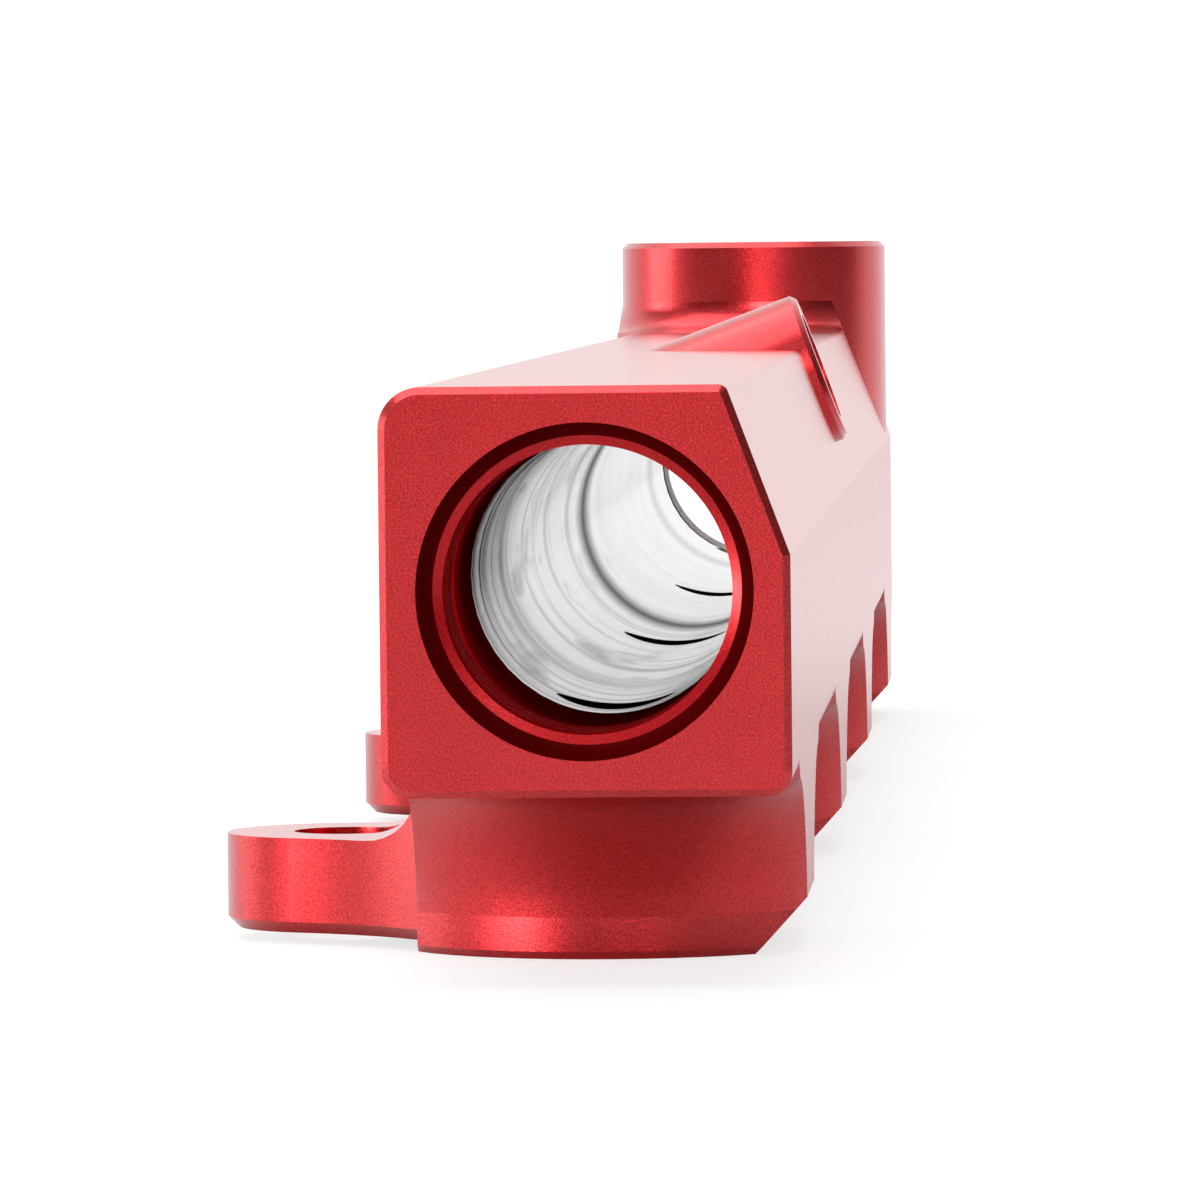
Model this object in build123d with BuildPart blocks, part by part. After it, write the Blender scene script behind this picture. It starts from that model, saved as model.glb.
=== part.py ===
from build123d import *

import os
from math import hypot, radians, sqrt, tan

# Billet fuel rail, machined from one square bar of aluminium. All sizes are in millimetres.
# The origin is on the fuel bore's axis at the front end face. +Y runs along the rail, +Z is up, and
# +X is the side that carries the bevel. The injector bosses hang down, and the rail stands on them.

# Bar
BAR_SIZE = 25.0
BEVEL_WIDTH = 3.85
BEVEL_HEIGHT = 10.37
CORNER_TOP_LEFT = 2.6
CORNER_BOTTOM_LEFT = 1.85
CORNER_BOTTOM_RIGHT = 1.5
CORNER_BEVEL_TOP = 0.65
END_CHAMFER = 0.45

# Fuel bore, and the straight-thread O-ring port at each end of it
BORE_DIA = 17.8
PORT_SEAT_DIA = 20.7
PORT_SEAT_ANGLE = 15.0
PORT_THREAD_DIA = 19.05
PORT_THREAD_DEPTH = 13.5

# Injector bosses, and how far the bar runs on past the first and the last
INJECTOR_SPACING = 90.0
INJECTOR_COUNT = 4
FRONT_OVERHANG = 37.34
REAR_OVERHANG = 15.96
BOSS_RADIUS = 14.85
BOSS_DROP = 11.67
BOSS_CHAMFER = 0.5
COVE_RADIUS = 9.0
RUNOUT_ANGLE = 30.0
RUNOUT_RISE = 2.2
FOOT_CUT_WIDTH = 3.25
FOOT_CUT_HEIGHT = 3.4

# Injector cups
CUP_DIA = 13.9
CUP_DEPTH = 12.0
CUP_LEAD = 1.0
FEED_DIA = 7.5

# Mounting ears
EAR_RADIUS = 7.9
EAR_REACH = 18.07
EAR_RAISE = 0.7
EAR_THICKNESS = 6.2
EAR_FLANK_FILLET = 3.7
EAR_SWEEP_RADIUS = 21.0
EAR_CHAMFER = 0.75
EAR_HOLE_DIA = 7.0
EAR_WALL_INSET = 0.15
MIDDLE_ROOT_REACH = 3.0
MIDDLE_COVE_RADIUS = 3.0

# Regulator tower over the last boss
TOWER_RADIUS = 12.4
TOWER_RISE = 8.33
TOWER_COVE_RADIUS = 2.8
TOWER_CHAMFER = 0.5
TOWER_SEAT_DIA = 15.65
TOWER_SEAT_ANGLE = 12.0
TOWER_THREAD_DIA = 14.29

# Gauge boss, square to the bevel
GAUGE_RADIUS = 6.0
GAUGE_HEIGHT = 1.0
GAUGE_DOWN_BEVEL = 1.75
GAUGE_ROOT = 14.5
GAUGE_CHAMFER = 0.4
GAUGE_TAP_DIA = 8.6
GAUGE_TAP_DEPTH = 6.5
GAUGE_FEED_DIA = 4.0
GAUGE_FEED_DEPTH = 11.0

# Sizes that follow from those above
HALF = BAR_SIZE / 2
FOOT_Z = -HALF - BOSS_DROP
BOSS_YS = [FRONT_OVERHANG + INJECTOR_SPACING * k for k in range(INJECTOR_COUNT)]
RAIL_LENGTH = BOSS_YS[-1] + REAR_OVERHANG
MIDDLE_Y = RAIL_LENGTH / 2
EAR_BOTTOM = FOOT_Z + EAR_RAISE
EAR_TOP = EAR_BOTTOM + EAR_THICKNESS
EAR_WALL_Y = BOSS_RADIUS - EAR_WALL_INSET
RUNOUT_Z = -HALF + RUNOUT_RISE
RUNOUT_RUN = RUNOUT_RISE / tan(radians(RUNOUT_ANGLE))
BEVEL_LENGTH = hypot(BEVEL_WIDTH, BEVEL_HEIGHT)
BEVEL_NORMAL = Vector(BEVEL_HEIGHT / BEVEL_LENGTH, 0, BEVEL_WIDTH / BEVEL_LENGTH)
DOWN_BEVEL = Vector(BEVEL_WIDTH / BEVEL_LENGTH, 0, -BEVEL_HEIGHT / BEVEL_LENGTH)
RIDGE_X = HALF - BEVEL_WIDTH
PORT_SEAT_DEPTH = (PORT_SEAT_DIA - PORT_THREAD_DIA) / 2 / tan(radians(PORT_SEAT_ANGLE))
PORT_END_DEPTH = PORT_THREAD_DEPTH + (PORT_THREAD_DIA - BORE_DIA) / 2
TOWER_TOP = HALF + TOWER_RISE
TOWER_SEAT_DEPTH = (TOWER_SEAT_DIA - TOWER_THREAD_DIA) / 2 / tan(radians(TOWER_SEAT_ANGLE))
TOWER_Y = BOSS_YS[-1]

# The bar: a square with three rounded corners and a steep bevel down its fourth.
with BuildPart() as bar:
    with BuildSketch(Plane.XZ) as bar_section:
        with BuildLine():
            Polyline(
                (-HALF, -HALF),
                (HALF, -HALF),
                (HALF, HALF - BEVEL_HEIGHT),
                (HALF - BEVEL_WIDTH, HALF),
                (-HALF, HALF),
                close=True,
            )
        make_face()
        fillet(bar_section.vertices().sort_by_distance((-HALF, HALF, 0))[0], CORNER_TOP_LEFT)
        fillet(bar_section.vertices().sort_by_distance((-HALF, -HALF, 0))[0], CORNER_BOTTOM_LEFT)
        fillet(bar_section.vertices().sort_by_distance((HALF, -HALF, 0))[0], CORNER_BOTTOM_RIGHT)
        fillet(
            bar_section.vertices().sort_by_distance((HALF - BEVEL_WIDTH, HALF, 0))[0],
            CORNER_BEVEL_TOP,
        )
    extrude(amount=-RAIL_LENGTH)
    end_faces = bar.faces().filter_by(Axis.Y)
    chamfer(end_faces.edges(), END_CHAMFER)

# One injector boss about the vertical axis. Its cylinder flares into the underside of the bar through a
# deep cove, which runs out inside the bar so that it leaves no step at the bar's rounded corners.
with BuildPart() as boss_blank:
    with BuildSketch(Plane.XZ):
        with BuildLine():
            boss_wall = Polyline(
                (0, FOOT_Z),
                (BOSS_RADIUS - BOSS_CHAMFER, FOOT_Z),
                (BOSS_RADIUS, FOOT_Z + BOSS_CHAMFER),
                (BOSS_RADIUS, -HALF - COVE_RADIUS),
            )
            boss_cove = TangentArc(
                boss_wall @ 1, (BOSS_RADIUS + COVE_RADIUS, -HALF), tangent=(0, 1)
            )
            Polyline(
                boss_cove @ 1,
                (BOSS_RADIUS + COVE_RADIUS + RUNOUT_RUN, RUNOUT_Z),
                (0, RUNOUT_Z),
                (0, FOOT_Z),
            )
        make_face()
    revolve(axis=Axis.Z)

# The bosses are cut flush with both sides of the bar and with its far end, and a slanting cut takes off
# the lower edge of each on the bevel's side.
with BuildPart() as bosses:
    with Locations(*[(0, y, 0) for y in BOSS_YS]):
        add(boss_blank.part)
    with Locations((0, MIDDLE_Y, 0)):
        Box(BAR_SIZE, RAIL_LENGTH, 4 * BAR_SIZE, mode=Mode.INTERSECT)
    with BuildSketch(Plane.XZ):
        with BuildLine():
            Polyline(
                (HALF - 2 * FOOT_CUT_WIDTH, FOOT_Z - FOOT_CUT_HEIGHT),
                (HALF + FOOT_CUT_WIDTH, FOOT_Z - FOOT_CUT_HEIGHT),
                (HALF + FOOT_CUT_WIDTH, FOOT_Z + 2 * FOOT_CUT_HEIGHT),
                close=True,
            )
        make_face()
    extrude(amount=-RAIL_LENGTH, mode=Mode.SUBTRACT)

# An end ear, in the frame of the boss that it grows from. In plan its lobe is flush with the boss behind,
# and sweeps in a long hollow curve to the boss's edge in front.
lobe = Vector(-EAR_REACH, EAR_WALL_Y - EAR_RADIUS)
sweep_end = Vector(-HALF, EAR_WALL_INSET - sqrt(BOSS_RADIUS**2 - HALF**2))
span = (sweep_end - lobe).length
reach = EAR_SWEEP_RADIUS + EAR_RADIUS
along = (reach**2 - EAR_SWEEP_RADIUS**2 + span**2) / (2 * span)
across = sqrt(reach**2 - along**2)
toward = (sweep_end - lobe).normalized()
sweep_centre = lobe + toward * along + Vector(toward.Y, -toward.X) * across
lobe_start = lobe + (sweep_centre - lobe).normalized() * EAR_RADIUS

with BuildPart() as end_ear:
    with BuildSketch(Plane.XY.offset(EAR_BOTTOM)):
        with BuildLine():
            RadiusArc(sweep_end, lobe_start, -EAR_SWEEP_RADIUS)
            ThreePointArc(
                lobe_start,
                lobe + Vector(-EAR_RADIUS, 0),
                lobe + Vector(0, EAR_RADIUS),
            )
            Polyline(
                lobe + Vector(0, EAR_RADIUS),
                (-HALF, EAR_WALL_Y),
                sweep_end,
            )
        make_face()
    extrude(amount=EAR_THICKNESS + EAR_FLANK_FILLET)
    ear_underside = end_ear.faces().sort_by(Axis.Z)[0]
    chamfer(ear_underside.edges().sort_by(Axis.X)[:-1], EAR_CHAMFER)
    with BuildSketch(Plane.XZ) as above_ear:
        with Locations((-HALF, EAR_TOP)):
            Rectangle(
                2 * EAR_REACH, 2 * EAR_FLANK_FILLET, align=(Align.MAX, Align.MIN)
            )
        fillet(above_ear.vertices().sort_by_distance((-HALF, EAR_TOP, 0))[0], EAR_FLANK_FILLET)
    extrude(amount=4 * BOSS_RADIUS, both=True, mode=Mode.SUBTRACT)
    # Under the bar the ear's back wall runs on to the boss, with the same cove over it.
    with BuildSketch(Plane.YZ.offset(-HALF)):
        with BuildLine():
            web_wall = Polyline(
                (0, EAR_BOTTOM),
                (EAR_WALL_Y - EAR_CHAMFER, EAR_BOTTOM),
                (EAR_WALL_Y, EAR_BOTTOM + EAR_CHAMFER),
                (EAR_WALL_Y, -HALF - COVE_RADIUS),
            )
            web_cove = TangentArc(
                web_wall @ 1, (EAR_WALL_Y + COVE_RADIUS, -HALF), tangent=(0, 1)
            )
            Polyline(
                web_cove @ 1,
                (EAR_WALL_Y + COVE_RADIUS + RUNOUT_RUN, RUNOUT_Z),
                (0, RUNOUT_Z),
                (0, EAR_BOTTOM),
            )
        make_face()
    extrude(amount=HALF)
    with Locations((lobe.X, lobe.Y, EAR_BOTTOM)):
        Hole(EAR_HOLE_DIA / 2, depth=4 * EAR_THICKNESS)

# The middle ear, in a frame centred on it along the rail: a straight tab whose root, round on its far
# side, lies under the bar.
with BuildPart() as middle_ear:
    with BuildSketch(Plane.XY.offset(EAR_BOTTOM)):
        with Locations((-(EAR_REACH + MIDDLE_ROOT_REACH) / 2, 0)):
            SlotCenterToCenter(EAR_REACH - MIDDLE_ROOT_REACH, 2 * EAR_RADIUS)
    extrude(amount=EAR_THICKNESS + EAR_FLANK_FILLET)
    chamfer(middle_ear.faces().sort_by(Axis.Z)[0].edges(), EAR_CHAMFER)
    with BuildSketch(Plane.XZ) as above_middle_ear:
        with Locations((-HALF, EAR_TOP)):
            Rectangle(
                2 * EAR_REACH, 2 * EAR_FLANK_FILLET, align=(Align.MAX, Align.MIN)
            )
        fillet(
            above_middle_ear.vertices().sort_by_distance((-HALF, EAR_TOP, 0))[0],
            EAR_FLANK_FILLET,
        )
    extrude(amount=4 * BOSS_RADIUS, both=True, mode=Mode.SUBTRACT)
    with BuildSketch(Plane.YZ.offset(-MIDDLE_ROOT_REACH)) as root_profile:
        with BuildLine():
            root_wall = Polyline(
                (0, EAR_BOTTOM),
                (EAR_RADIUS - EAR_CHAMFER, EAR_BOTTOM),
                (EAR_RADIUS, EAR_BOTTOM + EAR_CHAMFER),
                (EAR_RADIUS, -HALF - MIDDLE_COVE_RADIUS),
            )
            root_cove = TangentArc(
                root_wall @ 1, (EAR_RADIUS + MIDDLE_COVE_RADIUS, -HALF), tangent=(0, 1)
            )
            Polyline(
                root_cove @ 1,
                (EAR_RADIUS + MIDDLE_COVE_RADIUS + RUNOUT_RUN, RUNOUT_Z),
                (0, RUNOUT_Z),
                (0, EAR_BOTTOM),
            )
        make_face()
    revolve(axis=Axis((-MIDDLE_ROOT_REACH, 0, 0), (0, 0, -1)), revolution_arc=180)
    with BuildSketch(Plane.YZ.offset(-MIDDLE_ROOT_REACH)):
        add(root_profile.sketch_local)
        mirror(about=Plane.YZ)
    extrude(amount=MIDDLE_ROOT_REACH - HALF)
    with Locations((-EAR_REACH, 0, EAR_BOTTOM)):
        Hole(EAR_HOLE_DIA / 2, depth=4 * EAR_THICKNESS)

# The tower: a round column as wide as the bar. Its foot flares into the top face through a cove that is
# trimmed flush with the bar's side, bevel and end.
with BuildPart() as tower_foot:
    with BuildSketch(Plane.XZ):
        with BuildLine():
            foot_run = Polyline(
                (0, HALF - RUNOUT_RISE),
                (TOWER_RADIUS + TOWER_COVE_RADIUS + RUNOUT_RUN, HALF - RUNOUT_RISE),
                (TOWER_RADIUS + TOWER_COVE_RADIUS, HALF),
            )
            foot_cove = TangentArc(
                foot_run @ 1, (TOWER_RADIUS, HALF + TOWER_COVE_RADIUS), tangent=(-1, 0)
            )
            Polyline(foot_cove @ 1, (0, HALF + TOWER_COVE_RADIUS), (0, HALF - RUNOUT_RISE))
        make_face()
    revolve(axis=Axis.Z)
    with BuildSketch(Plane.XZ.offset(TOWER_Y)):
        with BuildLine():
            Polyline(
                (-HALF, 0),
                (HALF, 0),
                (HALF, HALF - BEVEL_HEIGHT),
                (RIDGE_X - BEVEL_WIDTH, HALF + BEVEL_HEIGHT),
                (-HALF, HALF + BEVEL_HEIGHT),
                close=True,
            )
        make_face()
    extrude(amount=-RAIL_LENGTH, mode=Mode.INTERSECT)

# The whole rail: the bar with its bosses, ears, tower and gauge boss, and the bores through them.
with BuildPart() as rail:
    add(bar.part)
    add(bosses.part)
    with Locations((0, BOSS_YS[0], 0)):
        add(end_ear.part)
    with Locations((0, BOSS_YS[-1], 0)):
        add(mirror(end_ear.part, about=Plane.XZ, mode=Mode.PRIVATE))
    with Locations((0, MIDDLE_Y, 0)):
        add(middle_ear.part)
    with Locations((0, TOWER_Y, 0)):
        add(tower_foot.part)
    with BuildSketch(Plane.XY):
        with Locations((0, TOWER_Y)):
            Circle(TOWER_RADIUS)
    extrude(amount=TOWER_TOP)
    chamfer(rail.faces().sort_by(Axis.Z)[-1].edges(), TOWER_CHAMFER)
    gauge_face = Plane(
        origin=Vector(RIDGE_X, MIDDLE_Y, HALF)
        + DOWN_BEVEL * GAUGE_DOWN_BEVEL
        + BEVEL_NORMAL * GAUGE_HEIGHT,
        x_dir=(0, 1, 0),
        z_dir=BEVEL_NORMAL,
    )
    with BuildSketch(gauge_face):
        Circle(GAUGE_RADIUS)
    extrude(amount=-GAUGE_HEIGHT - GAUGE_ROOT)
    gauge_rim = rail.edges().filter_by(GeomType.CIRCLE).sort_by_distance(gauge_face.origin)[0]
    chamfer(gauge_rim, GAUGE_CHAMFER)

    # The fuel bore runs from end to end, with the same O-ring port at both ends.
    with BuildSketch(Plane.XZ):
        Circle(BORE_DIA / 2)
    extrude(amount=-RAIL_LENGTH, mode=Mode.SUBTRACT)
    for port_plane in (Plane.XY, Plane((0, RAIL_LENGTH, 0), x_dir=(1, 0, 0), z_dir=(0, 0, -1))):
        with BuildSketch(port_plane):
            with BuildLine():
                Polyline(
                    (0, 0),
                    (PORT_SEAT_DIA / 2, 0),
                    (PORT_THREAD_DIA / 2, PORT_SEAT_DEPTH),
                    (PORT_THREAD_DIA / 2, PORT_THREAD_DEPTH),
                    (BORE_DIA / 2, PORT_END_DEPTH),
                    (0, PORT_END_DEPTH),
                    close=True,
                )
            make_face()
        revolve(axis=Axis.Y, mode=Mode.SUBTRACT)

    # Each injector's cup is bored up into its boss, with a lead for the O-ring, and feeds from the bore.
    with BuildSketch(Plane.XY.offset(FOOT_Z)):
        with Locations(*[(0, y) for y in BOSS_YS]):
            Circle(CUP_DIA / 2)
    extrude(amount=CUP_DEPTH, mode=Mode.SUBTRACT)
    with BuildSketch(Plane.XY.offset(FOOT_Z)):
        with Locations(*[(0, y) for y in BOSS_YS]):
            Circle(FEED_DIA / 2)
    extrude(amount=-FOOT_Z, mode=Mode.SUBTRACT)
    foot_circles = rail.edges().filter_by(GeomType.CIRCLE).group_by(Axis.Z)[0]
    chamfer(foot_circles.group_by(SortBy.RADIUS)[0], CUP_LEAD)

    # The regulator port comes down through the tower into the bore.
    with BuildSketch(Plane.XZ.offset(-TOWER_Y)):
        with BuildLine():
            Polyline(
                (0, 0),
                (TOWER_THREAD_DIA / 2, 0),
                (TOWER_THREAD_DIA / 2, TOWER_TOP - TOWER_SEAT_DEPTH),
                (TOWER_SEAT_DIA / 2, TOWER_TOP),
                (0, TOWER_TOP),
                close=True,
            )
        make_face()
    revolve(axis=Axis((0, TOWER_Y, 0), (0, 0, 1)), mode=Mode.SUBTRACT)

    # The gauge port is tapped square to the bevel, and a small hole goes on from it into the bore.
    with Locations(gauge_face):
        Hole(GAUGE_TAP_DIA / 2, depth=GAUGE_TAP_DEPTH)
        Hole(GAUGE_FEED_DIA / 2, depth=GAUGE_FEED_DEPTH)

os.makedirs("parts", exist_ok=True)
rail.part.label = "rail_body"
export_step(rail.part, "parts/rail_body.step")
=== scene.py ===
"""Looks of a billet fuel rail: anodise, bare bore, cut threads, studio and camera."""

import logging
import math
from abc import ABC, abstractmethod
from dataclasses import dataclass, field
from enum import Enum
from typing import Any, ClassVar, Iterable, Optional, Sequence, Union

import bmesh
import bpy
from mathutils import Matrix, Vector


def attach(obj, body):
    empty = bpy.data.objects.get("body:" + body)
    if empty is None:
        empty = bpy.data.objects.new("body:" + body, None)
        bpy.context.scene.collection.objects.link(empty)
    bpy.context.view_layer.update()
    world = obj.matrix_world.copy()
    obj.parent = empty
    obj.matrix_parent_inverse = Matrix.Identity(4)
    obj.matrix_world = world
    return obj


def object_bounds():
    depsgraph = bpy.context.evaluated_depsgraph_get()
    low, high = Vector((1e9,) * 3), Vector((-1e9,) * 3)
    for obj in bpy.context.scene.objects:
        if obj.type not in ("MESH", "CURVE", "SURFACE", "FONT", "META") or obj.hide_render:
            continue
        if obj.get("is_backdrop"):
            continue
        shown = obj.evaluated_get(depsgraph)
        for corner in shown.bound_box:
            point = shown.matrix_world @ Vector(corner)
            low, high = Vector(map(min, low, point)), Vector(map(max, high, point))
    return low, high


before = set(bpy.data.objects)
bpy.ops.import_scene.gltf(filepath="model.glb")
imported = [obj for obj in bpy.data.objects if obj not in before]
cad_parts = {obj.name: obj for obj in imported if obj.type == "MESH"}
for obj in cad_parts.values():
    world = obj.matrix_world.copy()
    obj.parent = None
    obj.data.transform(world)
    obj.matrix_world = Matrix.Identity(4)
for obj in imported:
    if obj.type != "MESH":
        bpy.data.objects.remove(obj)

LOG = logging.getLogger("fuel_rail")
RAIL_NODE = "rail_body"
ROOT_BODY = "root"
MM = 0.001
INCH = 25.4

Colour = tuple[float, float, float]
Point = tuple[float, float, float]
Section = Sequence[tuple[float, float]]
Fade = tuple[float, float]  # where a soft step lies, and how wide it is
Number = Union[int, float]


class Ray(Enum):
    """The kinds of ray that the Light Path node tells apart."""

    CAMERA = "Is Camera Ray"
    GLOSSY = "Is Glossy Ray"


@dataclass(frozen=True)
class RailSizes:
    """The rail's driving sizes in millimetres, and those that follow from them.

    The origin is on the fuel bore's axis at the front end face. Y runs along the rail, Z is up and
    X is the side that carries the bevel.

    Attributes:
        length: from end face to end face.
        tower_top: height of the regulator tower's top face over the bore's axis.
        foot: how far the bosses' feet lie under it.
        bar: the bar's width and height.
        bevel_width: how much the bevel takes off the bar's top.
        bevel_height: how much it takes off the bar's side.
        bore_radius: the fuel bore's radius.
        thread_radius: an end port's thread, at its major diameter.
        seat_radius: the sealing cone's edge on the end face.
        seat_angle: the sealing cone's half angle, in degrees.
        thread_depth: how deep an end port is tapped.
        injector_spacing: from one injector boss to the next.
        front_overhang: from the front end face to the first boss.
        rear_overhang: from the last boss to the rear end face.
        feed_radius: a feed hole's radius.
        cup_depth: how deep an injector cup is, up to the feed hole's foot.
        gauge_down_bevel: how far the gauge boss stands down the bevel.
        gauge_height: how far it stands proud.
    """

    length: float
    tower_top: float
    foot: float
    bar: float = 25.0
    bevel_width: float = 3.85
    bevel_height: float = 10.37
    bore_radius: float = 8.9
    thread_radius: float = 9.525
    seat_radius: float = 10.35
    seat_angle: float = 15.0
    thread_depth: float = 13.5
    injector_spacing: float = 90.0
    front_overhang: float = 37.34
    rear_overhang: float = 15.96
    feed_radius: float = 3.75
    cup_depth: float = 12.0
    gauge_down_bevel: float = 1.75
    gauge_height: float = 1.0

    @classmethod
    def from_frame(cls) -> "RailSizes":
        """Reads the length, the tower's top and the bosses' feet from the solid's box.

        Returns:
            The sizes.
        """
        low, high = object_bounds()
        _, length, tower_top = (round(value / MM, 3) for value in high)
        return cls(length=length, tower_top=tower_top, foot=round(-low[2] / MM, 3))

    @property
    def seat_depth(self) -> float:
        """How deep the sealing cone reaches."""
        return (self.seat_radius - self.thread_radius) / math.tan(math.radians(self.seat_angle))

    @property
    def port_end(self) -> float:
        """Depth at which an end port has closed to the bore."""
        return self.thread_depth + self.thread_radius - self.bore_radius

    @property
    def cup_top(self) -> float:
        """How far a feed hole's foot lies under the bore's axis."""
        return self.foot - self.cup_depth

    @property
    def tower_y(self) -> float:
        """The tower's place along the rail, over the last boss."""
        return self.length - self.rear_overhang

    @property
    def bevel_normal(self) -> Vector:
        """Unit vector square to the bevel."""
        return Vector((self.bevel_height, 0.0, self.bevel_width)).normalized()

    @property
    def gauge_face(self) -> Vector:
        """Finds the middle of the gauge boss's face.

        Returns:
            The point, in the row frame.
        """
        ridge = Vector((self.bar / 2 - self.bevel_width, self.length / 2, self.bar / 2))
        down = Vector((self.bevel_width, 0.0, -self.bevel_height)).normalized()
        return ridge + down * self.gauge_down_bevel + self.bevel_normal * self.gauge_height


SIZES = RailSizes.from_frame()


# --------------------------------------------------------------------------- node graph


@dataclass(frozen=True)
class Sock:
    """A shader value, which is an output socket or a plain number, with the usual operators."""

    graph: "Graph"
    value: Any

    def _math(self, operation: str, *others: Union["Sock", Number], clamp: bool = False) -> "Sock":
        """Adds a Math node that takes this value first.

        Args:
            operation: the node's operation.
            others: the values of its other inputs, in order.
            clamp: whether the result is held between 0 and 1.

        Returns:
            The node's result.
        """
        node = self.graph.node("ShaderNodeMath", {"operation": operation, "use_clamp": clamp})
        for socket, operand in zip(node.inputs, (self, *others)):
            self.graph.plug(socket, operand)
        return Sock(self.graph, node.outputs[0])

    def __add__(self, other: Union["Sock", Number]) -> "Sock":
        """This value plus another."""
        return self._math("ADD", other)

    def __radd__(self, other: Number) -> "Sock":
        """A number plus this value."""
        return self._math("ADD", other)

    def __sub__(self, other: Union["Sock", Number]) -> "Sock":
        """This value less another."""
        return self._math("SUBTRACT", other)

    def __rsub__(self, other: Number) -> "Sock":
        """A number less this value."""
        return Sock(self.graph, float(other))._math("SUBTRACT", self)

    def __mul__(self, other: Union["Sock", Number]) -> "Sock":
        """This value times another."""
        return self._math("MULTIPLY", other)

    def __rmul__(self, other: Number) -> "Sock":
        """A number times this value."""
        return self._math("MULTIPLY", other)

    def __truediv__(self, other: Union["Sock", Number]) -> "Sock":
        """This value over another."""
        return self._math("DIVIDE", other)

    def __rtruediv__(self, other: Number) -> "Sock":
        """A number over this value."""
        return Sock(self.graph, float(other))._math("DIVIDE", self)

    def __neg__(self) -> "Sock":
        """This value with its sign turned."""
        return self._math("MULTIPLY", -1.0)

    def __abs__(self) -> "Sock":
        """This value without its sign."""
        return self._math("ABSOLUTE")

    def root(self) -> "Sock":
        """The square root of this value."""
        return self._math("SQRT")

    def wrapped(self, low: float, high: float) -> "Sock":
        """This value wrapped round into the range from low to high."""
        return self._math("WRAP", high, low)

    def larger(self, other: Union["Sock", Number]) -> "Sock":
        """The larger of this value and another."""
        return self._math("MAXIMUM", other)

    def clamped(self) -> "Sock":
        """This value held between 0 and 1."""
        return self._math("ADD", 0.0, clamp=True)

    def over(self, edge: Union["Sock", Number], width: float) -> "Sock":
        """A soft step: 0 well below edge and 1 well above it, rising across width."""
        return ((self - edge) / width + 0.5).clamped()

    def under(self, edge: Union["Sock", Number], width: float) -> "Sock":
        """A soft step the other way: 1 below edge and 0 above it."""
        return 1.0 - self.over(edge, width)

    def band(self, middle: float, half: float, width: float) -> "Sock":
        """1 within half of middle and 0 away from it, with soft sides."""
        return abs(self - middle).under(half, width)


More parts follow.
